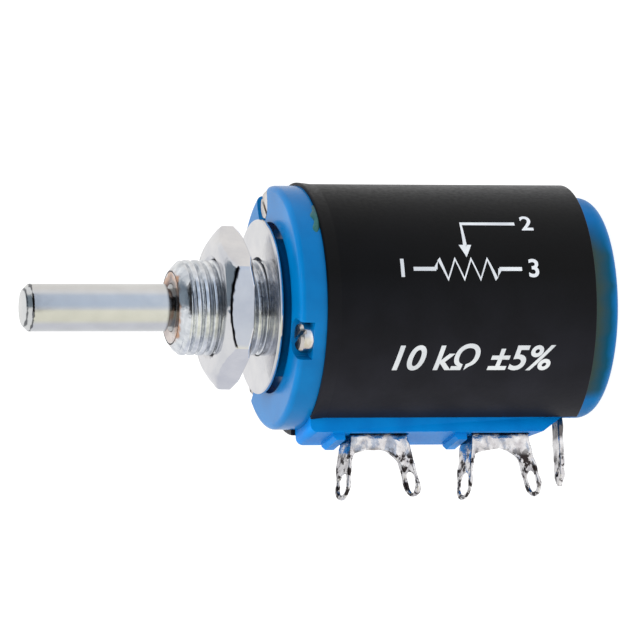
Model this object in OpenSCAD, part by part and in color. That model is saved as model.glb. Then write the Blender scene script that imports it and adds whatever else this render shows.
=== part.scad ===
// Ten-turn wirewound potentiometer with a threaded bushing and solder terminals.
// +Z runs along the shaft to its tip. z = 0 is the seat that meets the panel.
// The terminals point along -X. Lengths are in millimetres.

/* [Shaft] */
// Radius of the shaft, outside and in the bushing
shaft_r = 2; // [1.6:0.05:2.4]
// Length of the shaft in front of its neck
shaft_l = 12.2; // [6:0.1:40]
// Bevel round the shaft's tip
shaft_bevel = 0.5; // [0.1:0.05:0.8]
// Width of the dark neck between the shaft and the bushing's front
neck_w = 0.5; // [0.2:0.05:1.5]
// Depth of the neck and of the retaining ring's groove
neck_depth = 0.4; // [0.2:0.05:0.6]
// Step down from the shaft to its rear journal
journal_step = 0.5; // [0.2:0.05:0.8]
// Bevel at the journal's end
journal_bevel = 0.2; // [0.05:0.05:0.3]
// Clearance of the shaft in its bearings
shaft_gap = 0.03; // [0.01:0.01:0.08]

/* [Bushing] */
// Wall of the bushing, from its bore to the thread's crests
bushing_wall = 1.97; // [1.5:0.01:2.5]
// Length of the bushing in front of the seat
bushing_l = 7.9; // [6:0.1:14]
// Bevel at the bushing's front, along and across
bushing_bevel = 1; // [0.3:0.05:1.4]
// Width of the flange behind the cover
bushing_flange_w = 1.5; // [1:0.05:1.7]
// Thickness of that flange
bushing_flange_t = 1; // [0.6:0.05:1.5]
// Depth of the two flats on the flange
bushing_flat_depth = 0.8; // [0.3:0.05:1.2]

/* [Nut and washer] */
// Width of the nut across its flats
nut_w = 12; // [10:0.1:14]
// Thickness of the nut
nut_t = 2.55; // [1.5:0.05:3]
// Gap between the washer and the nut at rest
nut_gap = 1.65; // [0.3:0.05:2.2]
// Bevel at the nut's front corners, along the axis
nut_bevel = 0.95; // [0.3:0.05:1.1]
// Distance of the front face's edge from the flats
nut_face = 0.7; // [0.1:0.05:1]
// Bevel at the nut's rear corners, along the axis
nut_rear_bevel = 0.4; // [0.1:0.05:0.6]
// Distance of the rear face's edge from the flats
nut_rear_face = 0.1; // [0:0.05:0.3]
// Turn of the nut from the terminals, in degrees
nut_turn = 14; // [-30:1:30]
// Clearance of the nut on the thread's crests
nut_clearance = 0.05; // [0.02:0.01:0.08]
// Width of the washer, from its hole to its rim
washer_w = 3.3; // [2:0.05:3.6]
// Thickness of the washer
washer_t = 0.4; // [0.2:0.05:0.8]
// Clearance of the washer's hole on the bushing
washer_clearance = 0.15; // [0.05:0.05:0.4]

/* [Front cover] */
// How far the cover's rim stands out from the housing
cover_lip = 0.15; // [0:0.05:0.3]
// Depth of the rim's front face behind the seat
rim_depth = 0.65; // [0.2:0.05:1.1]
// Depth of the cover's rear face behind the seat
cover_depth = 2.9; // [2.7:0.05:4]
// Width of the rim beside the recess
rim_w = 3.05; // [2.2:0.05:3.6]
// Depth of the recess's floor behind the seat
recess_depth = 1.7; // [1.3:0.05:2]
// Width of the raised seat round the bushing
seat_w = 1.8; // [1:0.05:2.2]
// Rounding of the rim's outer edge
rim_round_r = 0.5; // [0.2:0.05:0.8]

/* [Cover screws] */
// Distance of the screws from the housing's outside
screw_inset = 1.24; // [1.1:0.02:1.3]
// Radius of a screw's head
screw_head_r = 1.3; // [1:0.05:1.4]
// Height of a screw's head
screw_head_h = 1.05; // [0.7:0.05:1.2]
// Bevel round a screw's head
screw_head_bevel = 0.25; // [0.05:0.05:0.4]
// Depth of the heads' fronts behind the rim's face
screw_sunk_depth = 0.15; // [0:0.05:0.4]
// Radius of a screw's shank
screw_shank_r = 0.62; // [0.4:0.02:0.66]
// Length of a screw's shank
screw_shank_l = 5; // [3:0.1:8]
// Free depth below a screw's end
screw_well_depth = 0.3; // [0.1:0.1:1]
// Clearance round a screw's head
screw_pocket_gap = 0.25; // [0.2:0.05:0.3]
// Width of the slot in a screw's head
screw_slot_w = 0.4; // [0.2:0.05:0.6]
// Depth of the slot in a screw's head
screw_slot_d = 0.45; // [0.2:0.05:0.6]

/* [Housing] */
// Radius of the housing
housing_r = 10.1; // [9.6:0.05:12]
// Wall of the housing
housing_wall = 1.95; // [1.8:0.05:2.2]
// Length of the housing behind the wiper terminal
housing_tail = 0.7; // [0.4:0.05:2]
// Thickness of the sleeve round the housing
sleeve_t = 0.25; // [0.1:0.05:0.5]
// Clearance between the housing and the sleeve
sleeve_gap = 0.05; // [0.02:0.01:0.2]
// Width of the terminal block
block_w = 4.9; // [4.4:0.1:6]
// How far the terminal block stands out from the housing
block_proud = 1.2; // [1:0.05:2]
// Length of the slope at the block's rear end
block_slope = 2.2; // [1:0.1:3]
// Distance from the block's rear end to the housing's
block_short = 0.6; // [0.2:0.1:1.2]
// Rounding at the block's front end
block_round_r = 0.6; // [0.2:0.05:0.8]
// Depth of the pockets round the terminals
pocket_d = 0.9; // [0.5:0.05:0.95]
// Width left in the block at each side of a pocket
pocket_wall = 0.55; // [0.3:0.05:0.8]
// Room between a terminal's bar and each end of its pocket
pocket_room = 0.12; // [0.05:0.01:0.2]
// Height of the ribs beside the terminals
rib_h = 0.55; // [0.2:0.05:0.9]
// Length of the ribs beside the terminals
rib_l = 1.05; // [0.6:0.05:2]
// Bevel at a rib's outer corner, and its root in the block
rib_bevel = 0.3; // [0.1:0.05:0.5]

/* [Rear cover] */
// How far the rear cover lies inside the housing's outside
rear_step = 0.75; // [0.3:0.05:1.2]
// Length of the rear cover behind the housing
rear_l = 2.5; // [2.2:0.1:4]
// Thickness of its end wall
rear_wall = 1.4; // [1:0.05:1.8]
// Rounding of its outer edge
rear_round_r = 1; // [0.3:0.05:1.2]
// Wall of the rear bearing
rear_boss_wall = 1.2; // [0.8:0.05:1.6]
// Depth of the front cover's spigot in the housing
spigot_l = 1; // [0.5:0.05:1.2]
// Depth of the rear cover's spigot in the housing
rear_spigot_l = 0.5; // [0.3:0.05:0.6]
// Wall of the rear cover's spigot
spigot_wall = 1; // [0.6:0.05:1.5]
// Clearance between the spigots and the housing's bore
spigot_gap = 0.05; // [0.02:0.01:0.1]

/* [Resistance element] */
// Number of turns
turns = 10; // [10:1:10]
// Distance from one turn to the next
lead = 1.4; // [1.2:0.02:1.8]
// Radius of the wound wire
element_r = 0.45; // [0.35:0.01:0.5]
// Clearance between the element and the bore
element_gap = 0.08; // [0.04:0.01:0.15]

/* [Terminals] */
// Thickness of the end terminals' tinned strip
strip_t = 0.25; // [0.2:0.05:0.4]
// Length of the bar of each end terminal
bar_l = 4.9; // [4.4:0.1:5.4]
// Distance from the block's face to the arch's crown
bar_h = 1.25; // [0.8:0.05:1.8]
// Rise of the arch from its ends to its crown
arch_rise = 0.35; // [0.2:0.05:0.8]
// Distance of the bar's inner face from the middle plane
bar_off = 1.3; // [0.8:0.05:1.4]
// Width of an ear
ear_w = 2.1; // [1.8:0.05:2.4]
// Width of an ear at its root
ear_root_w = 1.4; // [1:0.05:1.8]
// Distance over which an ear widens from its root
ear_shoulder = 0.8; // [0.6:0.05:1.2]
// Distance from the block's face to an ear's root
ear_lift = 0.1; // [0.05:0.05:0.3]
// Length of an ear beyond the block's face
ear_l = 5.3; // [4:0.1:7]
// Outward lean of the front and rear ears, in degrees
ear_leans = [7.5, 11.5]; // [0:0.5:14]
// Turn of the ears about their own length, in degrees
ear_turn = 15; // [0:1:20]
// Length of the eye in an ear
eye_l = 1.9; // [1.6:0.1:3]
// Width of the eye in an ear
eye_w = 1.5; // [1:0.05:1.6]
// Distance from a terminal's middle to its end of the travel
tap_offset = 1.7; // [1.4:0.05:1.8]
// Width of a terminal's foot in the housing's wall
foot_w = 1.3; // [1:0.05:1.4]
// Depth of the foot's end in the housing's wall
foot_depth = 0.25; // [0.2:0.05:0.4]
// Clearance of the foot in its window
window_gap = 0.1; // [0.05:0.05:0.2]
// Thickness of the wiper terminal
wiper_strip_t = 0.4; // [0.2:0.05:0.5]
// Length of the wiper terminal beyond the block's face
wiper_strip_l = 4.2; // [3:0.1:6]
// Width of the wiper terminal
wiper_strip_w = 1.8; // [1.4:0.05:2.2]
// Length of the wiper terminal's point
wiper_point = 0.8; // [0.4:0.05:1.2]
// Radius of the wiper terminal's eye
wiper_eye_r = 0.4; // [0.2:0.05:0.5]
// Length of the wiper terminal inside the bore
wiper_strip_in = 1.4; // [1:0.1:1.8]
// Distance from the slip ring to the wiper terminal
wiper_strip_drop = 1; // [0.8:0.05:1.5]

/* [Rotor and wiper] */
// Wall of the rotor's tube
rotor_wall = 0.7; // [0.5:0.05:1]
// Gap between the rotor's discs and the element
disc_gap = 0.87; // [0.5:0.01:1.1]
// Thickness of the end discs
disc_t = 0.8; // [0.5:0.05:1]
// Gap between the retaining ring and the rotor
rotor_gap = 0.3; // [0.1:0.05:0.6]
// Radius of the guide rod
rod_r = 0.5; // [0.3:0.05:0.6]
// Width of the rotor's key
key_w = 1.2; // [0.8:0.05:1.6]
// Height of the rotor's key
key_h = 0.6; // [0.3:0.05:0.8]
// Length of the wiper carriage
carriage_l = 2.6; // [1.8:0.1:3.4]
// Width of the carriage round the axis, in degrees
carriage_span = 100; // [70:5:120]
// Gap between the carriage and the rotor's tube
carriage_gap = 0.3; // [0.1:0.05:0.5]
// Clearance of the carriage on its rod and key
slide_gap = 0.04; // [0.02:0.01:0.05]
// Gap between the carriage and the key's top
key_gap = 0.1; // [0.05:0.05:0.3]
// Free travel left at each end of the drum
end_gap = 0.3; // [0.1:0.05:0.5]
// Gap between the wiper's bow and the element
wiper_gap = 0.12; // [0.05:0.01:0.2]
// Radius of the wiper's bow
bow_r = 0.9; // [0.85:0.05:1.2]
// Thickness of the springs
spring_t = 0.15; // [0.1:0.01:0.25]
// Width of the springs
spring_w = 0.8; // [0.5:0.05:1.2]
// Thickness of the slip ring
slip_ring_t = 0.4; // [0.2:0.05:0.6]
// Width of the slip ring's face
slip_ring_w = 1.9; // [1.4:0.05:2.2]
// Gap between the collector spring and the slip ring
brush_gap = 0.1; // [0.05:0.01:0.2]
// Length of the collector spring's toe
brush_toe = 0.5; // [0.3:0.05:0.8]
// Lift of the collector spring's toe
brush_lift = 0.2; // [0.1:0.05:0.3]

/* [Shaft retainers] */
// Thickness of the thrust washer
thrust_t = 0.25; // [0.15:0.05:0.5]
// Width of the thrust washer
thrust_w = 1.3; // [0.8:0.05:2]
// Thickness of the retaining ring
ring_t = 0.4; // [0.2:0.05:0.6]
// How far the retaining ring stands out from the shaft
ring_w = 1; // [0.6:0.05:1.6]
// Play of the retaining ring in its groove
groove_play = 0.03; // [0.01:0.01:0.1]

/* [Hidden] */

$fn = 72;
// A cut runs this share past the face that it opens
over = 0.05 * shaft_r;
// Glued, moulded and crimped faces are drawn this far apart
seat_gap = 0.01;

neck_r = shaft_r - neck_depth;
journal_r = shaft_r - journal_step;
bushing_bore_r = shaft_r + shaft_gap;
bushing_r = bushing_bore_r + bushing_wall;
bushing_flange_r = bushing_r + bushing_flange_w;
bushing_rear_z = -cover_depth - bushing_flange_t;
shaft_front_z = bushing_l + neck_w;
shaft_tip_z = shaft_front_z + shaft_l;

nut_bore_r = bushing_r + nut_clearance;
nut_rear_z = washer_t + nut_gap;
washer_in_r = bushing_r + washer_clearance;
washer_r = washer_in_r + washer_w;

bore_r = housing_r - housing_wall;
spigot_r = bore_r - spigot_gap;
sleeve_in_r = housing_r + sleeve_gap;
sleeve_r = sleeve_in_r + sleeve_t;
cover_r = housing_r + cover_lip;
recess_r = cover_r - rim_w;
seat_r = bushing_r + seat_w;
rear_r = housing_r - rear_step;
rear_boss_r = journal_r + shaft_gap + rear_boss_wall;

screw_pitch_r = housing_r - screw_inset;
screw_front_z = -rim_depth - screw_sunk_depth;
screw_seat_z = screw_front_z - screw_head_h;
screw_end_z = screw_seat_z - screw_shank_l;
screw_angles = [120, 240, 0];
screw_slot_turn = 35;

// The shaft's parts follow each other from the bushing to the rear
thrust_z = bushing_rear_z - shaft_gap;
ring_z = thrust_z - thrust_t - shaft_gap;
rotor_front_z = ring_z - ring_t - rotor_gap;
travel = turns * lead;
drum_l = travel + carriage_l + 2 * end_gap;
drum_front_z = rotor_front_z - disc_t;
drum_rear_z = drum_front_z - drum_l;
rotor_rear_z = drum_rear_z - disc_t;
slip_ring_rear_z = rotor_rear_z - slip_ring_t;
brush_z = slip_ring_rear_z - brush_gap;
wiper_strip_z = slip_ring_rear_z - wiper_strip_drop;

housing_front_z = -cover_depth;
housing_rear_z = wiper_strip_z - wiper_strip_t - housing_tail;
rear_face_z = housing_rear_z - rear_l;
shaft_end_z = rear_face_z + rear_wall;

element_path_r = bore_r - element_gap - element_r;
element_in_r = element_path_r - element_r;
element_mid_z = drum_front_z - drum_l / 2;
start_z = element_mid_z + travel / 2;
end_z = element_mid_z - travel / 2;
element_segments = 24;
element_sides = 8;

block_h = housing_r + block_proud;
block_rear_z = housing_rear_z + block_short;
start_terminal_z = start_z - tap_offset;
end_terminal_z = end_z + tap_offset;
pocket_floor = block_h - pocket_d;
strip_root = pocket_floor + seat_gap;
pocket_l = bar_l + 2 * pocket_room;
pocket_w = block_w - 2 * pocket_wall;
// A turned and leaning ear swings this far over the block before it clears the rib
ear_swing = ear_w * sin(ear_turn) * rib_h / ear_shoulder + rib_h * tan(ear_leans[0]);
rib_off = bar_l / 2 + pocket_room + max(ear_swing, ear_root_w * sin(ear_turn));
foot_x = -bore_r - foot_depth;
wiper_tip = block_h + wiper_strip_l;

rotor_tube_r = shaft_r + rotor_wall;
disc_r = element_in_r - disc_gap;
key_top_r = rotor_tube_r + key_h;
rod_pitch_r = (key_top_r + key_gap + disc_r) / 2;
slip_ring_in_r = rod_pitch_r - slip_ring_w / 2;
slip_ring_out_r = rod_pitch_r + slip_ring_w / 2;
carriage_in_r = rotor_tube_r + carriage_gap;
wiper_reach = element_in_r - wiper_gap;

// A ring between two heights and two radii
module ring(r_in, r_out, z_low, z_high) {
    translate([0, 0, z_low])
        difference() {
            cylinder(r = r_out, h = z_high - z_low);
            translate([0, 0, -over])
                cylinder(r = r_in, h = z_high - z_low + 2 * over);
        }
}

// A round bar between two heights
module bar(r, z_low, z_high) {
    translate([0, 0, z_low])
        cylinder(r = r, h = z_high - z_low);
}

// A box given by its lowest and highest corners
module block(low, high) {
    translate(low)
        cube(high - low);
}

// What a rounding takes off a square outer corner at the origin
module corner_round(r) {
    translate([-r, -r])
        difference() {
            square(r + over);
            circle(r = r);
        }
}

module front_cover() color("#1274bd")
    difference() {
        union() {
            rotate_extrude()
                difference() {
                    translate([0, -cover_depth])
                        square([cover_r, cover_depth - rim_depth]);
                    translate([cover_r, -rim_depth])
                        corner_round(rim_round_r);
                }
            bar(seat_r, -cover_depth, 0);
            bar(spigot_r, -cover_depth - spigot_l, -recess_depth - over);
        }
        ring(seat_r, recess_r, -recess_depth, over);
        bar(bushing_r + seat_gap, bushing_rear_z - over, over);
        bushing_flange(seat_gap, bushing_rear_z - over, -cover_depth);
        for (a = screw_angles)
            rotate(a)
                translate([screw_pitch_r, 0, 0]) {
                    bar(screw_head_r + screw_pocket_gap, screw_seat_z, over);
                    bar(screw_shank_r + seat_gap, -cover_depth - over, over);
                }
    }

// The bushing's flange with its two flats, grown by a clearance
module bushing_flange(gap, z_low, z_high) {
    r = bushing_flange_r + gap;
    flat_y = bushing_flange_r - bushing_flat_depth + gap;
    intersection() {
        bar(r, z_low, z_high);
        block([-2 * r, -flat_y, z_low - over], [2 * r, flat_y, z_high + over]);
    }
}

module bushing() color("#b9bcc0")
    difference() {
        union() {
            rotate_extrude()
                polygon([
                    [0, bushing_rear_z],
                    [bushing_r, bushing_rear_z],
                    [bushing_r, bushing_l - bushing_bevel],
                    [bushing_r - bushing_bevel, bushing_l],
                    [0, bushing_l]
                ]);
            bushing_flange(0, bushing_rear_z, -cover_depth);
        }
        bar(bushing_bore_r, bushing_rear_z - over, bushing_l + over);
    }

// A hexagon with a flat that faces the near side, bevelled round both faces
module mounting_nut() color("#c9ccd2")
    translate([0, 0, nut_rear_z])
        difference() {
            intersection() {
                rotate(-nut_turn)
                    cylinder(d = nut_w / cos(30), h = nut_t, $fn = 6);
                nut_bevel_body();
            }
            translate([0, 0, -over])
                cylinder(r = nut_bore_r, h = nut_t + 2 * over);
        }

module nut_bevel_body() {
    corner_r = nut_w / 2 / cos(30) + over;
    rotate_extrude()
        polygon([
            [0, 0],
            [nut_w / 2 + nut_rear_face, 0],
            [corner_r, nut_rear_bevel],
            [corner_r, nut_t - nut_bevel],
            [nut_w / 2 - nut_face, nut_t],
            [0, nut_t]
        ]);
}

module flat_washer() color("#d2d4d8")
    ring(washer_in_r, washer_r, 0, washer_t);

// A cheese head with a straight slot, and the shank below it
module cover_screw(angle) color("#d8d8d6")
    rotate(angle)
        translate([screw_pitch_r, 0, 0])
            difference() {
                union() {
                    rotate_extrude()
                        polygon([
                            [0, screw_seat_z],
                            [screw_head_r, screw_seat_z],
                            [screw_head_r, screw_front_z - screw_head_bevel],
                            [screw_head_r - screw_head_bevel, screw_front_z],
                            [0, screw_front_z]
                        ]);
                    bar(screw_shank_r, screw_end_z, screw_seat_z + screw_head_bevel);
                }
                rotate(screw_slot_turn)
                    block([-2 * screw_head_r, -screw_slot_w / 2, screw_front_z - screw_slot_d],
                          [2 * screw_head_r, screw_slot_w / 2, screw_front_z + over]);
            }

module cover_screw_left() cover_screw(screw_angles[0]);
module cover_screw_right() cover_screw(screw_angles[1]);
module cover_screw_top() cover_screw(screw_angles[2]);

// The block's side outline: its face, its rounded front and its sloping rear
module block_outline() {
    root = (bore_r + housing_r) / 2;
    translate([-block_h + block_round_r, housing_front_z - block_round_r])
        circle(r = block_round_r);
    polygon([
        [-root, housing_front_z],
        [-block_h + block_round_r, housing_front_z],
        [-block_h, housing_front_z - block_round_r],
        [-block_h, block_rear_z + block_slope],
        [-housing_r, block_rear_z],
        [-root, block_rear_z]
    ]);
}

// The pocket that an end terminal stands in
module terminal_pocket(z_mid) {
    block([-block_h - over, -pocket_w / 2, z_mid - pocket_l / 2],
          [-pocket_floor, pocket_w / 2, z_mid + pocket_l / 2]);
}

// The raised rib in front of an end terminal
module terminal_rib(z_mid) {
    z_low = z_mid + rib_off;
    rotate([90, 0, 0])
        linear_extrude(pocket_w, center = true)
            polygon([
                [-block_h + rib_bevel, z_low],
                [-block_h - rib_h, z_low],
                [-block_h - rib_h, z_low + rib_l - rib_bevel],
                [-block_h - rib_h + rib_bevel, z_low + rib_l],
                [-block_h + rib_bevel, z_low + rib_l]
            ]);
}

// The window that the tap clip and the terminal's foot pass through
module tap_window(z_mid) {
    half_y = bar_off + strip_t + window_gap;
    half_z = foot_w / 2 + window_gap;
    block([-pocket_floor - over, -half_y, z_mid - half_z],
          [-bore_r + housing_wall / 2, half_y, z_mid + half_z]);
}

module housing() color("#0f6db6")
    difference() {
        union() {
            bar(housing_r, housing_rear_z, housing_front_z);
            rotate([90, 0, 0])
                linear_extrude(block_w, center = true)
                    block_outline();
            terminal_rib(start_terminal_z);
            terminal_rib(end_terminal_z);
        }
        bar(bore_r, housing_rear_z - over, housing_front_z + over);
        terminal_pocket(start_terminal_z);
        terminal_pocket(end_terminal_z);
        tap_window(start_z);
        tap_window(end_z);
        block([-block_h - over, -wiper_strip_w / 2 - seat_gap, housing_rear_z - over],
              [-bore_r + housing_wall / 2, wiper_strip_w / 2 + seat_gap, wiper_strip_z + seat_gap]);
        for (a = screw_angles)
            rotate(a)
                translate([screw_pitch_r, 0, 0])
                    bar(screw_shank_r + seat_gap, screw_end_z - screw_well_depth, housing_front_z + over);
    }

// An open tube that leaves room for the terminal block
module label_sleeve() color("#1b1b20")
    difference() {
        ring(sleeve_in_r, sleeve_r, housing_rear_z, housing_front_z);
        block([-sleeve_r - over, -block_w / 2 - sleeve_gap, housing_rear_z - over],
              [0, block_w / 2 + sleeve_gap, housing_front_z + over]);
    }

module rear_cover() color("#1274bd")
    difference() {
        union() {
            rotate_extrude()
                difference() {
                    translate([0, rear_face_z])
                        square([rear_r, rear_l]);
                    translate([rear_r, rear_face_z])
                        mirror([0, 1])
                            corner_round(rear_round_r);
                }
            bar(spigot_r, shaft_end_z, housing_rear_z + rear_spigot_l);
        }
        ring(rear_boss_r, spigot_r - spigot_wall, shaft_end_z,
             housing_rear_z + rear_spigot_l + over);
        bar(journal_r + shaft_gap, shaft_end_z - shaft_gap, housing_rear_z + rear_spigot_l + over);
    }

// A wound wire laid as a right-hand coil in the housing's bore
module resistance_element() color("#b87333")
    polyhedron(points = coil_points(), faces = coil_faces(), convexity = 12);

function coil_angle(i) = 180 - turns * 180 + i * 360 / element_segments;
function coil_z(i) = end_z + lead * i / element_segments;
function coil_ring(i) = [
    for (k = [0 : element_sides - 1])
        let (t = k * 360 / element_sides, r = element_path_r + element_r * cos(t), a = coil_angle(i))
            [r * cos(a), r * sin(a), coil_z(i) + element_r * sin(t)]
];
function coil_rings() = turns * element_segments;
function coil_points() = [for (i = [0 : coil_rings()]) each coil_ring(i)];
function coil_faces() = concat(
    [[for (k = [0 : element_sides - 1]) k]],
    [for (i = [0 : coil_rings() - 1], k = [0 : element_sides - 1])
        let (n = (k + 1) % element_sides, a = i * element_sides, b = a + element_sides)
            [a + n, a + k, b + k, b + n]],
    [[for (k = [element_sides - 1 : -1 : 0]) coil_rings() * element_sides + k]]
);

// A small channel that grips the element's end and meets the terminal's foot
module tap_clip(z_mid) color("#c9a227") {
    half_y = bar_off + strip_t;
    inner = element_r + seat_gap;
    block([foot_x, -half_y, z_mid - foot_w / 2],
          [foot_x + spring_t, half_y, z_mid + foot_w / 2]);
    for (side = [-1, 1])
        translate([0, 0, z_mid + side * (inner + spring_t / 2)])
            block([foot_x, -spring_w / 2, -spring_t / 2],
                  [-element_path_r, spring_w / 2, spring_t / 2]);
}

module tap_clip_start() tap_clip(start_z);
module tap_clip_end() tap_clip(end_z);

// The arched bar of an end terminal, in the bar's own plane
module bar_outline() {
    half_arch = bar_l / 2 - strip_t;
    arch_r = (pow(half_arch, 2) + pow(arch_rise, 2)) / (2 * arch_rise);
    crown = block_h + bar_h - strip_root;
    difference() {
        translate([0, -bar_l / 2])
            square([crown + arch_rise, bar_l]);
        translate([crown + arch_r, 0])
            circle(r = arch_r);
    }
}

// One ear with its long eye, seen along the shaft
module ear_outline() {
    tip_r = ear_w / 2;
    tip_x = ear_l - ear_lift - tip_r;
    eye_back = eye_l - eye_w;
    difference() {
        union() {
            polygon([[0, 0], [0, ear_root_w], [ear_shoulder, ear_w], [tip_x, ear_w], [tip_x, 0]]);
            translate([tip_x, tip_r])
                circle(r = tip_r);
        }
        translate([tip_x, tip_r])
            circle(r = eye_w / 2);
        translate([tip_x - eye_back, tip_r])
            circle(r = eye_w / 2);
        translate([tip_x - eye_back, tip_r - eye_w / 2])
            square([eye_back, eye_w]);
    }
}

// A bar with two ears folded back from it, and the foot that meets the tap clip
module end_terminal(z_mid, foot_z) color("#d3d3d0") {
    translate([-strip_root, -bar_off, z_mid])
        mirror([1, 0, 0])
            rotate([90, 0, 0])
                linear_extrude(strip_t)
                    bar_outline();
    for (side = [1, -1])
        translate([-block_h - ear_lift, -bar_off - strip_t, z_mid + side * (bar_l - strip_t) / 2])
            rotate([0, side * ear_leans[(1 - side) / 2], 0])
                rotate([ear_turn, 0, 0])
                    mirror([1, 0, 0])
                        linear_extrude(strip_t, center = true)
                            ear_outline();
    block([-strip_root - strip_t, -bar_off - strip_t, foot_z - foot_w / 2],
          [foot_x, -bar_off, foot_z + foot_w / 2]);
}

module terminal_start() end_terminal(start_terminal_z, start_z);
module terminal_end() end_terminal(end_terminal_z, end_z);

// A flat strip with a pointed end, square to the shaft
module terminal_wiper() color("#d3d3d0") {
    half_w = wiper_strip_w / 2;
    in_x = -bore_r + wiper_strip_in;
    shoulder_x = -wiper_tip + wiper_point;
    translate([0, 0, wiper_strip_z - wiper_strip_t])
        linear_extrude(wiper_strip_t)
            difference() {
                polygon([
                    [in_x, -half_w],
                    [shoulder_x, -half_w],
                    [-wiper_tip, 0],
                    [shoulder_x, half_w],
                    [in_x, half_w]
                ]);
                translate([shoulder_x + wiper_eye_r, 0])
                    circle(r = wiper_eye_r);
            }
}

// A leaf that reaches from the wiper terminal to the slip ring
module collector_spring() color("#c9a227") {
    seat_x = -bore_r + spring_t;
    bend_x = -bore_r + wiper_strip_in;
    toe_x = -rod_pitch_r + brush_toe;
    rotate([90, 0, 0])
        linear_extrude(spring_w, center = true)
            polygon([
                [seat_x, wiper_strip_z + spring_t],
                [seat_x, wiper_strip_z],
                [bend_x, wiper_strip_z],
                [-rod_pitch_r, brush_z - spring_t],
                [toe_x, brush_z - spring_t - brush_lift],
                [toe_x, brush_z - brush_lift],
                [-rod_pitch_r, brush_z],
                [bend_x, wiper_strip_z + spring_t]
            ]);
}

module shaft() color("#d6d6d2")
    rotate_extrude()
        polygon([
            [0, shaft_end_z],
            [journal_r - journal_bevel, shaft_end_z],
            [journal_r, shaft_end_z + journal_bevel],
            [journal_r, brush_z],
            [shaft_r, brush_z],
            [shaft_r, ring_z - ring_t - groove_play],
            [neck_r, ring_z - ring_t - groove_play],
            [neck_r, ring_z + groove_play],
            [shaft_r, ring_z + groove_play],
            [shaft_r, bushing_l],
            [neck_r, bushing_l],
            [neck_r, shaft_front_z],
            [shaft_r, shaft_front_z],
            [shaft_r, shaft_tip_z - shaft_bevel],
            [shaft_r - shaft_bevel, shaft_tip_z],
            [0, shaft_tip_z]
        ]);

module thrust_washer() color("#e4e0d2")
    ring(shaft_r + shaft_gap, shaft_r + thrust_w, thrust_z - thrust_t, thrust_z);

// An open ring that snaps into the shaft's groove
module retaining_ring() color("#6f7276") {
    mouth = neck_r * 0.8;
    difference() {
        ring(neck_r + seat_gap, shaft_r + ring_w, ring_z - ring_t, ring_z);
        block([0, -mouth, ring_z - ring_t - over],
              [shaft_r + 2 * ring_w, mouth, ring_z + over]);
    }
}

// A spool with a long key, pressed on the shaft
module rotor() color("#2a2a2d")
    difference() {
        union() {
            bar(rotor_tube_r, rotor_rear_z, rotor_front_z);
            bar(disc_r, drum_front_z, rotor_front_z);
            bar(disc_r, rotor_rear_z, drum_rear_z);
            block([-key_top_r, -key_w / 2, rotor_rear_z],
                  [0, key_w / 2, rotor_front_z]);
        }
        bar(shaft_r + seat_gap, rotor_rear_z - over, rotor_front_z + over);
        translate([-rod_pitch_r, 0, 0])
            bar(rod_r + seat_gap, rotor_rear_z - over, rotor_front_z + over);
    }

module guide_rod() color("#d8c690")
    translate([-rod_pitch_r, 0, 0])
        bar(rod_r, rotor_rear_z, rotor_front_z);

module slip_ring() color("#d8b95a")
    ring(slip_ring_in_r, slip_ring_out_r, slip_ring_rear_z, rotor_rear_z);

// A saddle that slides on the guide rod and the rotor's key
module wiper_carriage() color("#e9e4d4")
    translate([0, 0, element_mid_z - carriage_l / 2])
        difference() {
            rotate([0, 0, 180 - carriage_span / 2])
                rotate_extrude(angle = carriage_span)
                    translate([carriage_in_r, 0])
                        square([disc_r - carriage_in_r, carriage_l]);
            translate([-rod_pitch_r, 0, -over])
                cylinder(r = rod_r + slide_gap, h = carriage_l + 2 * over);
            block([-key_top_r - key_gap, -key_w / 2 - slide_gap, -over],
                  [0, key_w / 2 + slide_gap, carriage_l + over]);
        }

// A curved leaf on the carriage with a bow that runs on the element
module wiper_contact() color("#d8b95a")
    translate([0, 0, element_mid_z]) {
        rotate([0, 0, 180 - carriage_span / 4])
            rotate_extrude(angle = carriage_span / 2)
                translate([disc_r, -carriage_l / 3])
                    square([spring_t, carriage_l * 2 / 3]);
        translate([0, 0, -spring_w / 2])
            linear_extrude(spring_w)
                difference() {
                    translate([-wiper_reach + bow_r, 0])
                        difference() {
                            circle(r = bow_r);
                            circle(r = bow_r - spring_t);
                        }
                    circle(r = disc_r + spring_t - seat_gap);
                }
    }

front_cover();
bushing();
mounting_nut();
flat_washer();
cover_screw_left();
cover_screw_right();
cover_screw_top();
housing();
label_sleeve();
rear_cover();
resistance_element();
tap_clip_start();
tap_clip_end();
terminal_start();
terminal_end();
terminal_wiper();
collector_spring();
shaft();
thrust_washer();
retaining_ring();
rotor();
guide_rod();
slip_ring();
wiper_carriage();
wiper_contact();
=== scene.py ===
"""The looks of the rotary potentiometer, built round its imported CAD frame.

Sizes are in millimetres until a mesh is made. +Z runs along the shaft to its tip and the
terminals point along -X. Angles round the shaft start at the side that faces the viewer
and grow towards the side away from the terminals.
"""

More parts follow.
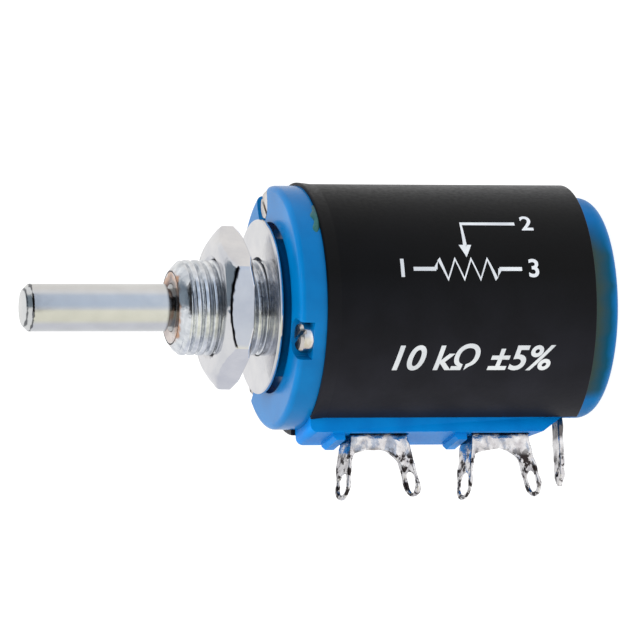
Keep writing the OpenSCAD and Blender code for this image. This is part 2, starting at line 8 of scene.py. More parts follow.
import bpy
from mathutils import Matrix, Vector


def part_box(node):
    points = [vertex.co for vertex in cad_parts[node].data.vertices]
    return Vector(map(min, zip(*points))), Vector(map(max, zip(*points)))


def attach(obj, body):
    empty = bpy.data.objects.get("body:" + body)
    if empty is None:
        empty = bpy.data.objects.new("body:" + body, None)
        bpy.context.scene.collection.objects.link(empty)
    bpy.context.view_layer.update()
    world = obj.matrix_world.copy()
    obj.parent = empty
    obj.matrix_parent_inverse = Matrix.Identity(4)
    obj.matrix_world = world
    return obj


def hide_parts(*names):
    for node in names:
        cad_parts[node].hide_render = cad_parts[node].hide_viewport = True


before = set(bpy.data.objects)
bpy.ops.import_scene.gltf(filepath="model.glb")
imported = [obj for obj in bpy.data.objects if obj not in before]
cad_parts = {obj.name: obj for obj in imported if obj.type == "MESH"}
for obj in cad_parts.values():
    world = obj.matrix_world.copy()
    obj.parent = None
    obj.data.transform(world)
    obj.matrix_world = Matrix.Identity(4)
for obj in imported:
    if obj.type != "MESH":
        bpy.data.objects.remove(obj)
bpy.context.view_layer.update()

import math

import bmesh
import bpy
from mathutils import Matrix, Vector, noise

MM = 0.001
VIEW_TURN = math.radians(14)
VIEW_ELEVATION = math.radians(15.5)

UP = Vector((math.cos(VIEW_TURN), -math.sin(VIEW_TURN), 0))
NEAR = Vector((-math.sin(VIEW_TURN), -math.cos(VIEW_TURN), 0))
AXIS = Vector((0, 0, 1))
TERMINALS_SIDE = Vector((-1, 0, 0))
BACK = NEAR * math.cos(VIEW_ELEVATION) + AXIS * math.sin(VIEW_ELEVATION)


# Sizes taken from the frame

def span(node):
    """The lowest and highest corner of a CAD node, in millimetres."""
    low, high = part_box(node)
    return low / MM, high / MM


BUSHING_HIGH = span("bushing")[1]
SHAFT_LOW, SHAFT_HIGH = span("shaft")
WASHER_LOW, WASHER_HIGH = span("flat_washer")
SLEEVE_LOW, SLEEVE_HIGH = span("label_sleeve")
REAR_LOW, REAR_HIGH = span("rear_cover")
COVER_LOW, COVER_HIGH = span("front_cover")
HOUSING_HIGH = span("housing")[1]


# Meshes

EDGE_ANGLE = 35
BEVEL_SEGMENTS = 3
SMOOTH_ROUNDS = 3
COAT = 0.02
SWELLS = 1.1


def outward(angle):
    """The direction away from the shaft at an angle round it."""
    return NEAR * math.cos(angle) + UP * math.sin(angle)


def make_object(name, vertices, faces):
    """A mesh object from vertices in millimetres."""
    mesh = bpy.data.meshes.new(name)
    mesh.from_pydata([Vector(v) * MM for v in vertices], [], faces)
    mesh.update()
    made = bpy.data.objects.new(name, mesh)
    bpy.context.scene.collection.objects.link(made)
    return made


def grid_faces(rows, columns, rows_closed=False, columns_closed=False):
    """Four-sided faces between points that lie in rows, closed round either way if asked."""
    faces = []
    for row in range(rows if rows_closed else rows - 1):
        here, there = row * columns, (row + 1) % rows * columns
        for column in range(columns if columns_closed else columns - 1):
            after = (column + 1) % columns
            faces.append((here + column, here + after, there + after, there + column))
    return faces


def smooth(made, angle=EDGE_ANGLE):
    """Shades a mesh smooth, with a sharp edge where two faces meet at more than an angle."""
    made.data.shade_smooth()
    made.data.set_sharp_from_angle(angle=math.radians(angle))


def edit(made, work):
    """Runs work(bm) on the object's mesh."""
    bm = bmesh.new()
    bm.from_mesh(made.data)
    work(bm)
    bm.to_mesh(made.data)
    bm.free()
    made.data.update()


def fix_normals(made):
    """Turns every face outwards."""
    edit(made, lambda bm: bmesh.ops.recalc_face_normals(bm, faces=bm.faces))


def rounded(corners, steps=5):
    """An outline from (r, z, rounding) corners, each rounded with an arc."""
    outline = []
    count = len(corners)
    for i, (r, z, rounding) in enumerate(corners):
        here = Vector((r, z))
        if not rounding:
            outline.append(here)
            continue
        before = Vector(corners[i - 1][:2]) - here
        after = Vector(corners[(i + 1) % count][:2]) - here
        half = before.angle(after) / 2
        before.normalize()
        after.normalize()
        reach = rounding / math.tan(half)
        centre = here + (before + after).normalized() * rounding / math.sin(half)
        start = here + before * reach - centre
        turn = start.angle_signed(here + after * reach - centre)
        for k in range(steps + 1):
            # angle_signed counts clockwise, as Matrix.Rotation does with a minus sign
            outline.append(centre + Matrix.Rotation(-turn * k / steps, 2) @ start)
    return outline


def lathe(name, outline, start=0.0, end=math.tau, segments=144):
    """Turns a closed (r, z) outline about the shaft, all round or between two angles."""
    whole = abs(end - start - math.tau) < 1e-6
    rows = segments if whole else segments + 1
    vertices = []
    for i in range(rows):
        a = start + (end - start) * i / segments
        across = outward(a)
        vertices += [across * p[0] + AXIS * p[1] for p in outline]
    n = len(outline)
    faces = grid_faces(rows, n, rows_closed=whole, columns_closed=True)
    if not whole:
        faces.append(tuple(range(n)))
        faces.append(tuple(range((rows - 1) * n, rows * n)))
    made = make_object(name, vertices, faces)
    edit(made, lambda bm: bmesh.ops.remove_doubles(bm, verts=bm.verts, dist=1e-7))
    fix_normals(made)
    smooth(made)
    return made


def copy_of(node, name):
    """A clean copy of a CAD node, its flat faces joined."""
    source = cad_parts[node].data
    made = make_object(
        name,
        [v.co / MM for v in source.vertices],
        [tuple(p.vertices) for p in source.polygons],
    )

    def clean(bm):
        bmesh.ops.remove_doubles(bm, verts=bm.verts, dist=2e-6)
        bmesh.ops.dissolve_limit(bm, angle_limit=math.radians(0.5), verts=bm.verts, edges=bm.edges)
        bmesh.ops.recalc_face_normals(bm, faces=bm.faces)

    edit(made, clean)
    return made


def break_edges(made, bevel):
    """Breaks the edges with a small rounding."""
    modifier = made.modifiers.new("broken_edges", "BEVEL")
    modifier.width = bevel * MM
    modifier.segments = BEVEL_SEGMENTS
    modifier.limit_method = "ANGLE"
    modifier.angle_limit = math.radians(EDGE_ANGLE)
    modifier.use_clamp_overlap = True
    made.data.shade_smooth()
    normals = made.modifiers.new("face_normals", "WEIGHTED_NORMAL")
    normals.keep_sharp = True


def coated(made, voxel, wobble, seed):
    """Turns a mesh into one skin with soft folds and the uneven swells of a dipped coat."""
    remesh = made.modifiers.new("remesh", "REMESH")
    remesh.mode = "VOXEL"
    remesh.voxel_size = voxel * MM
    bake_modifiers(made)

    def swell(bm):
        for _ in range(SMOOTH_ROUNDS):
            bmesh.ops.smooth_vert(bm, verts=bm.verts, factor=0.5, use_axis_x=True,
                                  use_axis_y=True, use_axis_z=True)
        bm.normal_update()
        moves = []
        for v in bm.verts:
            height = COAT + wobble * noise.noise(v.co / MM * SWELLS + seed)
            moves.append(v.normal * height * MM)
        for v, move in zip(bm.verts, moves):
            v.co += move

    edit(made, swell)
    made.data.shade_smooth()


def bake_modifiers(made):
    """Makes the shape that the modifiers give the mesh itself."""
    graph = bpy.context.evaluated_depsgraph_get()
    baked = bpy.data.meshes.new_from_object(made.evaluated_get(graph))
    made.modifiers.clear()
    made.data = baked


def join(first, *others):
    """Adds the others' faces to the first object."""
    def add(bm):
        for other in others:
            bm.from_mesh(other.data)
    edit(first, add)
    for other in others:
        bpy.data.objects.remove(other)


def cut_away(made, low, high, matrix):
    """Cuts a box, given by its corners in millimetres before it is placed, out of a mesh."""
    vertices = [matrix @ Vector((x, y, z)) for x in (low[0], high[0]) for y in (low[1], high[1])
                for z in (low[2], high[2])]
    faces = [(0, 1, 3, 2), (4, 6, 7, 5), (0, 4, 5, 1), (2, 3, 7, 6), (0, 2, 6, 4), (1, 5, 7, 3)]
    cutter = make_object("cutter", vertices, faces)
    fix_normals(cutter)
    modifier = made.modifiers.new("cut", "BOOLEAN")
    modifier.operation = "DIFFERENCE"
    modifier.solver = "EXACT"
    modifier.object = cutter
    bake_modifiers(made)
    bpy.data.objects.remove(cutter)


def tilt(made, angle, height):
    """Leans a mesh about the line towards the viewer, at a height on the shaft."""
    pivot = Matrix.Translation(AXIS * height * MM)
    made.data.transform(pivot @ Matrix.Rotation(angle, 4, NEAR) @ pivot.inverted())


# Materials

def colour(red, green, blue):
    """Linear values of an sRGB colour given from 0 to 255."""
    def linear(value):
        value /= 255
        return value / 12.92 if value <= 0.04045 else ((value + 0.055) / 1.055) ** 2.4
    return (linear(red), linear(green), linear(blue), 1)


class Look:
    """A material, with short ways to add nodes to it. Every point is the object's own."""

    def __init__(self, name):
        self.material = bpy.data.materials.new(name)
        self.material.use_nodes = True
        self.nodes = self.material.node_tree.nodes
        self.links = self.material.node_tree.links
        self.place = None

    def point(self):
        """The point that is shaded, in the object's own metres."""
        if self.place is None:
            self.place = self.nodes.new("ShaderNodeTexCoord").outputs["Object"]
        return self.place

    def feed(self, socket, value):
        """Gives an input a value, or links it to another node's output."""
        if isinstance(value, bpy.types.NodeSocket):
            self.links.new(value, socket)
        else:
            socket.default_value = value

    def set(self, name, value):
        """Sets one input of the shader."""
        self.feed(self.nodes["Principled BSDF"].inputs[name], value)

    def noise(self, scale, detail=3.0, roughness=0.5):
        """Noise whose scale is in swells a millimetre."""
        texture = self.nodes.new("ShaderNodeTexNoise")
        texture.inputs["Scale"].default_value = scale / MM
        texture.inputs["Detail"].default_value = detail
        texture.inputs["Roughness"].default_value = roughness
        self.links.new(self.point(), texture.inputs["Vector"])
        return texture.outputs["Fac"]

    def spread(self, value, low, high, low_out, high_out):
        """Maps a value from one span to another, held at the ends."""
        ramp = self.nodes.new("ShaderNodeMapRange")
        for socket, number in zip(("From Min", "From Max", "To Min", "To Max"),
                                  (low, high, low_out, high_out)):
            ramp.inputs[socket].default_value = number
        self.links.new(value, ramp.inputs["Value"])
        return ramp.outputs["Result"]

    def mixed(self, share, first, second):
        """A colour between two, each a colour or a socket."""
        mix = self.nodes.new("ShaderNodeMix")
        mix.data_type = "RGBA"
        self.links.new(share, mix.inputs["Factor"])
        self.feed(mix.inputs["A"], first)
        self.feed(mix.inputs["B"], second)
        return mix.outputs["Result"]

    def maths(self, operation, *values):
        """A calculation with numbers, each a value or a socket."""
        made = self.nodes.new("ShaderNodeMath")
        made.operation = operation
        for socket, value in zip(made.inputs, values):
            self.feed(socket, value)
        return made.outputs["Value"]

    def vector_maths(self, operation, output, *values):
        """A calculation with vectors, each a value or a socket."""
        made = self.nodes.new("ShaderNodeVectorMath")
        made.operation = operation
        for socket, value in zip(made.inputs, values):
            self.feed(socket, value)
        return made.outputs[output]

    def multiplied(self, tint, factor):
        """A colour made darker by a factor from 0 to 1."""
        made = self.nodes.new("ShaderNodeVectorMath")
        made.operation = "SCALE"
        self.links.new(tint, made.inputs[0])
        self.links.new(factor, made.inputs["Scale"])
        return made.outputs["Vector"]

    def along(self, direction):
        """How far a point lies along a direction."""
        return self.vector_maths("DOT_PRODUCT", "Value", self.point(), direction)

    def from_axis(self):
        """How far a point lies from the shaft's axis."""
        flat = self.vector_maths("MULTIPLY", "Vector", self.point(), (1, 1, 0))
        return self.vector_maths("LENGTH", "Value", flat)

    def patched(self, patches, first, second):
        """A colour that goes from one to another with the patches of a noise."""
        return self.mixed(self.spread(patches, 0.35, 0.65, 0, 1), first, second)

    def grain(self, fine, smoothest, roughest, depth):
        """Uneven gloss and bumps, both from one noise."""
        self.set("Roughness", self.spread(fine, 0.3, 0.7, smoothest, roughest))
        self.bumps(fine, depth)

    def bumps(self, fine, depth):
        """Bumps from a noise. Their depth is in millimetres."""
        bump = self.nodes.new("ShaderNodeBump")
        bump.inputs["Distance"].default_value = depth * MM
        self.links.new(fine, bump.inputs["Height"])
        self.set("Normal", bump.outputs["Normal"])


def surface(name, light, dark, metallic, smoothest, roughest, grain, depth, sheen=0.5):
    """A plain finish: two close colours, uneven gloss and a fine grain."""
    look = Look(name)
    look.set("Base Color", look.patched(look.noise(0.35), dark, light))
    look.set("Metallic", metallic)
    look.set("Specular IOR Level", sheen)
    look.grain(look.noise(grain, 4.0), smoothest, roughest, depth)
    return look.material


BLUE_LIGHT = colour(0, 113, 178)
BLUE_DARK = colour(0, 105, 168)

block_plastic = surface("block_plastic", colour(0, 132, 214), colour(0, 118, 200), 0, 0.3, 0.42, 6,
                        0.003, sheen=0.3)
block_plastic.node_tree.nodes["Principled BSDF"].inputs["IOR"].default_value = 1.18
nickel = surface("nickel", colour(222, 221, 222), colour(208, 208, 212), 1, 0.1, 0.2, 3, 0.006)
screw_steel = surface("screw_steel", colour(224, 223, 222), colour(186, 172, 160), 1, 0.14, 0.28, 2,
                      0.03)
brass = surface("brass", colour(226, 190, 120), colour(206, 166, 98), 1, 0.2, 0.34, 5, 0.004)
bronze = surface("bronze", colour(214, 170, 110), colour(190, 144, 88), 1, 0.22, 0.36, 5, 0.004)
wire = surface("wire", colour(206, 160, 120), colour(176, 130, 92), 1, 0.25, 0.4, 9, 0.01)
dark_steel = surface("dark_steel", colour(120, 122, 126), colour(96, 98, 102), 1, 0.25, 0.4, 6, 0.005)
washer_plastic = surface("washer_plastic", colour(230, 226, 212), colour(214, 208, 194), 0, 0.35, 0.5,
                         6, 0.005)
black_moulding = surface("black_moulding", colour(42, 42, 46), colour(32, 32, 36), 0, 0.35, 0.5,
                         6, 0.008)
pale_moulding = surface("pale_moulding", colour(236, 230, 214), colour(222, 214, 196), 0, 0.35, 0.5,
                        6, 0.008)
white_ink = surface("white_ink", colour(226, 228, 230), colour(204, 206, 210), 0, 0.5, 0.65, 5, 0.006)
teal_paint = surface("teal_paint", colour(30, 104, 96), colour(14, 70, 84), 0, 0.3, 0.45, 2, 0.03)


def solder():
    """A dipped coat of tin: bright and lumpy, with painted dark reflections in patches on the ears and
    painted shade where the strips leave the block.
    """
    look = Look("solder")
    lumps = look.noise(1.3, 3.0)
    dark_patch_noise = look.noise(1.4, 5.0, 0.62)
    outwards = look.along(TERMINALS_SIDE)
    ears_start, ears_full = 12.3 * MM, 13.2 * MM
    block_face, block_clear = 11.3 * MM, 11.62 * MM
    on_ears = look.spread(outwards, ears_start, ears_full, 0.1, 1)
    # Painted shade: the strips darken where they come out of the block's face.
    shade_at_block = look.spread(outwards, block_face, block_clear, 0.85, 0)
    # Painted dark reflections: patches on the ears, where the real coat mirrors dark things.
    painted_dark = look.spread(dark_patch_noise, 0.49, 0.55, 0, 1)
    painted_dark = look.maths("MULTIPLY", painted_dark, on_ears)
    painted_dark = look.maths("MAXIMUM", painted_dark, shade_at_block)
    clean = look.patched(lumps, colour(188, 184, 186), colour(226, 224, 224))
    look.set("Base Color", look.mixed(painted_dark, clean, colour(52, 46, 46)))
    look.set("Metallic", 1)
    look.set("Roughness", look.spread(dark_patch_noise, 0.3, 0.7, 0.12, 0.3))
    look.bumps(lumps, 0.09)
    return look.material


def nut_metal():
    """The nut's plating, with a painted dark reflection in a line along the edge that faces the
    viewer.
    """
    look = Look("nut_metal")
    patches = look.noise(0.35)
    fine = look.noise(3, 4.0)
    # The mesh's attribute carries a painted dark reflection, a line along the edge that faces the
    # viewer.
    painted_reflection = look.nodes.new("ShaderNodeAttribute")
    painted_reflection.attribute_name = "painted_reflection"
    clean = look.patched(patches, colour(208, 208, 212), colour(222, 221, 222))
    look.set("Base Color", look.mixed(painted_reflection.outputs["Fac"], clean, colour(34, 34, 40)))
    look.set("Metallic", 1)
    look.grain(fine, 0.1, 0.2, 0.006)
    return look.material


def shaft_steel():
    """Bright turned bar, with painted dark reflections in a broken line round each edge of its tip and
    painted shade in its neck.
    """
    look = Look("turned_steel")
    patches = look.noise(0.5)
    fine = look.noise(2.0)
    height = look.along(AXIS)
    ragged = look.spread(look.noise(1.4, 4.0), 0.3, 0.7, -0.09 * MM, 0.09 * MM)
    tip, front = SHAFT_HIGH.z * MM, BUSHING_HIGH.z * MM
    bevel_edge = tip - 0.52 * MM
    rim_r = (SHAFT_HIGH.x - 0.42) * MM

    def line(value, place, dark, clear):
        """A ragged line where a value comes near a place."""
        gap = look.maths("ABSOLUTE", look.maths("ADD", value, -place))
        return look.spread(look.maths("ADD", gap, ragged), dark * MM, clear * MM, 1, 0)

    # Painted dark reflections: a ragged line where the bevel meets the bar, and another round the edge
    # of the tip's face.
    rear_line = line(height, bevel_edge, 0.05, 0.11)
    at_tip = look.spread(height, tip - 0.3 * MM, tip - 0.2 * MM, 0, 1)
    rim = look.maths("MULTIPLY", line(look.from_axis(), rim_r, 0.04, 0.12), at_tip)
    # Painted shade in the neck's groove in front of the bushing.
    neck_shade = look.spread(height, front + 0.55 * MM, front + 0.75 * MM, 0.7, 0)
    lines = look.maths("MAXIMUM", look.maths("MAXIMUM", rear_line, rim), neck_shade)
    clean = look.patched(patches, colour(210, 210, 209), colour(217, 217, 216))
    lines = look.maths("MULTIPLY", lines, 0.8)
    look.set("Base Color", look.mixed(lines, clean, colour(40, 44, 52)))
    look.set("Metallic", 1)
    look.grain(fine, 0.13, 0.2, 0.002)
    return look.material


def film():
    """The sleeve's black film, painted greyer on the side of the terminals as a reflection of the
    brighter surroundings there.
    """
    look = Look("sleeve_film")
    patches = look.noise(0.3)
    fine = look.noise(3, 4.0)
    full_reflection_at, no_reflection_at = -7 * MM, 3 * MM
    # Painted reflection: the film is lighter towards the terminals.
    grey = look.spread(look.along(UP), full_reflection_at, no_reflection_at, 1, 0)
    plain_black = look.patched(patches, colour(7, 7, 8), colour(9, 9, 11))
    reflection_lit = look.patched(patches, colour(27, 27, 33), colour(33, 33, 40))
    look.set("Base Color", look.mixed(grey, plain_black, reflection_lit))
    look.set("Specular IOR Level", 0.09)
    look.grain(fine, 0.34, 0.46, 0.01)
    return look.material


def shaded_plastic():
    """The front cover's blue, which is in deep shade on the wall below the washer."""
    look = Look("shaded_plastic")
    patches = look.noise(0.35)
    fine = look.noise(6, 4.0)
    plain = look.patched(patches, BLUE_DARK, BLUE_LIGHT)
    wall_foot, wall_top = -0.8 * MM, -0.45 * MM
    wall_r, open_r = 6.2 * MM, 6.6 * MM
    lit = look.spread(look.along(AXIS), wall_foot, wall_top, 0.95, 0.3)
    outside = look.spread(look.from_axis(), wall_r, open_r, 0, 1)
    shade = look.maths("MAXIMUM", lit, outside)
    look.set("Base Color", look.multiplied(plain, shade))
    look.set("Specular IOR Level", 0.15)
    look.grain(fine, 0.16, 0.26, 0.002)
    return look.material


def stained_plastic():
    """The rear cover's blue, with an olive and teal tide mark beside the sleeve."""
    look = Look("stained_plastic")
    patches = look.noise(0.5)
    fine = look.noise(6, 4.0)
    ragged = look.spread(patches, 0.3, 0.7, -0.25 * MM, 0.25 * MM)
    depth = look.maths("ADD", look.along(AXIS), ragged)
    sleeve_end = SLEEVE_LOW.z * MM
    teal_start, olive_start, olive_full = (sleeve_end - d * MM for d in (2.15, 1.5, 0.35))
    teal = look.spread(depth, teal_start, olive_start, 0, 1)
    olive = look.spread(depth, olive_start, olive_full, 0, 1)
    across = look.along(UP)
    low_edge = -REAR_HIGH.y * MM * 0.78
    high_edge = REAR_HIGH.y * MM * 0.8
    side = look.spread(across, low_edge - 0.4 * MM, low_edge + 0.4 * MM, 0, 1)
    top = look.spread(across, high_edge - 3 * MM, high_edge, 1, 0)
    side = look.maths("MULTIPLY", side, top)
    teal = look.maths("MULTIPLY", teal, side)
    olive = look.maths("MULTIPLY", olive, side)
    plain = look.patched(patches, BLUE_DARK, BLUE_LIGHT)
    stained = look.mixed(teal, plain, colour(10, 78, 104))
    stained = look.mixed(olive, stained, colour(64, 80, 72))
    look.set("Base Color", stained)
    look.set("Specular IOR Level", 0.04)
    look.grain(fine, 0.28, 0.42, 0.006)
    return look.material


def worn_plating():
    """Bright plating that has worn to the brass round the shaft's hole."""
    look = Look("worn_plating")
    patches = look.noise(1.1, 4.0)
    fine = look.noise(5, 4.0)
    ragged = look.spread(patches, 0.3, 0.7, -0.25 * MM, 0.25 * MM)
    reach = look.maths("ADD", look.from_axis(), ragged)
    worn = look.spread(reach, 3.05 * MM, 3.35 * MM, 1, 0)
    near = look.spread(look.along(NEAR), 1.0 * MM, 1.8 * MM, 0.12, 1)
    worn = look.maths("MULTIPLY", worn, near)
    face = look.spread(look.along(UP), -0.5 * MM, 0.8 * MM, 0.45, 0.95)
    face = look.maths("MULTIPLY", face, look.spread(reach, 2.95 * MM, 3.15 * MM, 1, 0))
    worn = look.maths("MAXIMUM", worn, face)
    high_side = look.spread(look.along(UP), -0.4 * MM, 0.8 * MM, 0.15, 1)
    brown = look.spread(reach, 2.4 * MM, 2.8 * MM, 1, 0)
    brown = look.maths("MULTIPLY", brown, high_side)
    plating = look.patched(patches, colour(196, 200, 206), colour(232, 234, 236))
    brass_tone = look.mixed(brown, colour(196, 156, 130), colour(104, 76, 66))
    look.set("Base Color", look.mixed(worn, plating, brass_tone))
    look.set("Metallic", 1)
    look.grain(fine, 0.14, 0.26, 0.012)
    return look.material


# Pieces

def show(made, body, material, slot, *nodes):
    """Finishes a piece: its material, its body, and the CAD nodes it stands for."""
    made.data.materials.clear()
    made.data.materials.append(material)
    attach(made, body)
    if nodes:
        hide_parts(*nodes)


THREAD_PITCH = 0.75
THREAD_DEPTH = 0.34
THREAD_SHARPNESS = 4
THREAD_STEPS = 14
BUSHING_CREST = 4.0
BUSHING_BEVEL = 1.0
BEVEL_START = 0.92
BEVEL_CURVE = 1.5
SHAFT_GAP = 0.03


def thread_depth(share):
    """How deep the thread is, as a share of its full depth: wide round crests, narrow roots."""
    return math.sin(math.pi * share) ** (2 * THREAD_SHARPNESS) if 0 < share < 1 else 0.0


def threaded_bushing():
    """The bushing with a right-hand thread whose rows follow the helix."""
    segments = 120
    mouth = 0.06
    steps = [k / THREAD_STEPS for k in range(THREAD_STEPS)]
    front, rear = BUSHING_HIGH.z, COVER_LOW.z
    bore_r = SHAFT_HIGH.x + SHAFT_GAP
    turns = int((front - rear) / THREAD_PITCH) + 2
    rows = [(rear + (turn + s) * THREAD_PITCH, s) for turn in range(-1, turns) for s in steps]
    vertices = []
    for z_row, share in rows:
        for i in range(segments + 1):
            a = math.tau * i / segments
            z = min(max(z_row + THREAD_PITCH * i / segments, rear), front)
            r = BUSHING_CREST - THREAD_DEPTH * thread_depth(share)
            share_left = max(BEVEL_START - (front - z) / BUSHING_BEVEL, 0)
            r = min(r, BUSHING_CREST - BUSHING_BEVEL * share_left ** BEVEL_CURVE)
            vertices.append((r * math.cos(a), r * math.sin(a), z))
    made = make_object("threaded_bushing", vertices, grid_faces(len(rows), segments + 1))
    no_area = 1e-14

    def close(bm):
        """Joins the points that the bushing's ends hold at one height, and drops what is left flat."""
        bmesh.ops.remove_doubles(bm, verts=bm.verts, dist=1e-6)
        flat = [f for f in bm.faces if f.calc_area() < no_area]
        bmesh.ops.delete(bm, geom=flat, context="FACES")

    edit(made, close)
    face_r = BUSHING_CREST - BUSHING_BEVEL
    core = lathe("bushing_core", [
        (bore_r, rear), (bore_r, front - mouth), (bore_r + mouth, front), (face_r, front),
        (face_r, rear)])
    join(made, core)
    fix_normals(made)
    smooth(made, angle=50)
    show(made, "case", worn_plating(), "plated_brass", "bushing")


def shaft():
    """The plain bar, with its journal at the rear and a neck in front of the bushing, painted dark as
    shade.
    """
    r, front, tip = SHAFT_HIGH.x, BUSHING_HIGH.z, SHAFT_HIGH.z
    neck_r, neck_w, bevel = r - 0.4, 0.5, 0.5
    journal_r, journal_front = r - 0.5, span("slip_ring")[0].z
    centre = 0.001
    made = lathe("shaft_bar", rounded([
        (centre, SHAFT_LOW.z, 0), (journal_r, SHAFT_LOW.z, 0.15), (journal_r, journal_front, 0),
        (r, journal_front, 0.05), (r, front, 0.05), (neck_r, front, 0), (neck_r, front + neck_w, 0),
        (r, front + neck_w, 0.06), (r, tip - bevel, 0.3), (r - bevel, tip, 0.25), (centre, tip, 0)]))
    show(made, "spindle", shaft_steel(), "turned_steel", "shaft")


WASHER_TILT = math.radians(0.15)
WASHER_RISE = 0.08
WASHER_LIFT = 0.03
WASHER_TRIM = 0.12
WASHER_GAP = 0.15


def washer():
    """The loose washer, a little off the thread's middle and not quite flat on its seat."""
    low, high = WASHER_LOW, WASHER_HIGH
    inner = BUSHING_CREST + WASHER_GAP
    outer = high.x - WASHER_TRIM
    made = lathe("washer", rounded([
        (inner, low.z, 0.08), (outer, low.z, 0.12), (outer, high.z, 0.12), (inner, high.z, 0.08)]))
    tilt(made, WASHER_TILT, (low.z + high.z) / 2)
    made.data.transform(Matrix.Translation((AXIS * WASHER_LIFT + UP * WASHER_RISE) * MM))
    show(made, "case", nickel, "plated_steel", "flat_washer")


TRIM_UP = -9.22
TRIM_Z = -24.8
TRIM_SLOPE = math.radians(55)
TRIM_LOW, TRIM_HIGH = (-9, -4, -4), (5.5, 0, 0)


def view_axes(up, height):
    """Places a cut: x towards the viewer, y up in the picture, z along the shaft."""
    return Matrix.Translation(UP * up + AXIS * height) @ Matrix((NEAR, UP, AXIS)).transposed().to_4x4()


def trim_rear_corner(made):
    """Cuts off what would stand out behind the terminal block's rear slope."""
    corner = view_axes(TRIM_UP, TRIM_Z)
    cut_away(made, TRIM_LOW, TRIM_HIGH, corner)
    cut_away(made, TRIM_LOW, TRIM_HIGH, corner @ Matrix.Rotation(-TRIM_SLOPE, 4, "X"))


SLEEVE_THICKNESS = 0.25
SLEEVE_GAP = 5.0
LIP_REACH = 0.34


def sleeve():
    """A curved sheet with a lip that stands out a little at the front."""
    inner, outer = SLEEVE_HIGH.y - SLEEVE_THICKNESS, SLEEVE_HIGH.y
    front, rear = SLEEVE_HIGH.z, SLEEVE_LOW.z
    flared, flare_width = outer + 0.12, 1.2
    outline = rounded([
        (inner, rear, 0), (outer, rear, 0.08), (outer, front - flare_width, 0.6),
        (flared, front - 0.15, 0.1), (flared, front, 0.06), (inner, front, 0)])
    half_gap = math.asin(SLEEVE_GAP / 2 / outer)
    middle = math.pi * 1.5 + VIEW_TURN
    made = lathe("sleeve", outline, middle + half_gap - math.tau, middle - half_gap, 160)
    root_r, lip_r = outer - 0.2, outer + LIP_REACH
    lip_rear, lip_front = front - 0.4, front + 0.3
    lip_start, lip_end = math.radians(-107), math.radians(-91)
    curl = lathe("sleeve_curl", rounded([
        (root_r, lip_rear, 0.05), (lip_r, lip_rear, 0.1), (lip_r, lip_front, 0.12),
        (root_r, lip_front, 0.05)]), lip_start, lip_end, 16)
    trim_rear_corner(made)
    join(made, curl)
    smooth(made)
    show(made, "case", film(), "black_film", "label_sleeve")


REAR_CORNER = 1
REAR_ROUND = 1.25


def rear_cover():
    """The cap, with its rear edge rounded more widely than the structure's corner."""
    low, high = REAR_LOW, REAR_HIGH
    made = copy_of("rear_cover", "rear_cap")
    slack = 0.01

    def roll(bm):
        for v in bm.verts:
            x, y, z = v.co / MM
            reach = math.hypot(x, y)
            outwards, backwards = reach - high.x + REAR_CORNER, low.z + REAR_CORNER - z
            if outwards < -slack or backwards < -slack:
                continue
            turn = math.atan2(max(backwards, 0), max(outwards, 0))
            wanted = high.x - REAR_ROUND * (1 - math.cos(turn))
            v.co.x *= wanted / reach
            v.co.y *= wanted / reach
            v.co.z = (low.z + REAR_ROUND * (1 - math.sin(turn))) * MM

    edit(made, roll)
    break_edges(made, bevel=0.08)
    show(made, "case", stained_plastic(), "blue_moulding", "rear_cover")


def terminal_housing():
    """The housing with its terminal block, a corner cut off at the rear."""
    made = copy_of("housing", "terminal_housing")
    trim_rear_corner(made)
    break_edges(made, bevel=0.1)
    show(made, "case", block_plastic, "blue_moulding", "housing")


SCREW_SEAT = -1.85
POCKET_HALF = 1.6
POCKET_REACH = 4


def front_flange():
    """The front cover, its three screw pockets opened to the outside."""
    made = copy_of("front_cover", "front_flange")
    for name in ("left", "right", "top"):
        low, high = span("cover_screw_" + name)
        middle = (low + high) / 2
        turn = Matrix.Rotation(math.atan2(middle.y, middle.x), 4, "Z")
        pitch_r = Vector((middle.x, middle.y)).length
        cut_away(made, (pitch_r, -POCKET_HALF, SCREW_SEAT),
                 (pitch_r + POCKET_REACH, POCKET_HALF, 1), turn)
    break_edges(made, bevel=0.06)
    show(made, "case", shaded_plastic(), "blue_moulding", "front_cover")


NUT_TILT = math.radians(-1.2)
NUT_HALF_WIDTH = 6.0
NUT_REAR_TRIM = 0.14
NUT_FRONT_TRIM = 0.08
NUT_GAP = 0.05


def softest(*lengths, blend):
    """The least of some lengths, with a soft change from one to the next."""
    least = min(lengths)
    return least - blend * math.log(sum(math.exp((least - v) / blend) for v in lengths))


def nut_radius(angle, z, low, high):
    """How far the nut reaches at an angle, its flats cut by two bevels, and its share of the painted
    dark reflection.
    """
    half_width = NUT_HALF_WIDTH
    flats = [half_width / max(math.cos(angle - side * math.tau / 6), 0.2) for side in range(-2, 4)]
    front_face, front_bevel, rear_face, rear_bevel = 0.5, 0.84, 0.25, 0.4
    corner = half_width / math.cos(math.pi / 6)
    front = half_width - front_face + (high - z) * (corner - half_width + front_face) / front_bevel
    rear = half_width + rear_face + (z - low) * (corner - half_width - rear_face) / rear_bevel
    hexagon = softest(*flats, blend=0.04)
    ragged = noise.noise(Vector((angle * 16, z * 3.5, 0)))
    nick_depth, nick_band = 0.05, 0.3
    nicks = nick_depth * math.exp(-((front - hexagon) / nick_band) ** 2) * ragged
    length = softest(hexagon, rear, softest(hexagon, front, blend=0.14), blend=0.06) + nicks
    near_flat = math.radians(29.5)
    towards_viewer = 1 if abs(angle) < near_flat else 0
    width = 0.08 + 0.09 * ragged + 0.16 * max(angle, 0)
    # Painted dark reflection: a ragged dark line along the front bevel's edge, only on the flat that
    # faces the viewer.
    painted_reflection = towards_viewer * max(1 - abs(front - hexagon - 0.1) / (2.2 * width), 0)
    return length, min(painted_reflection * 2.5, 1)


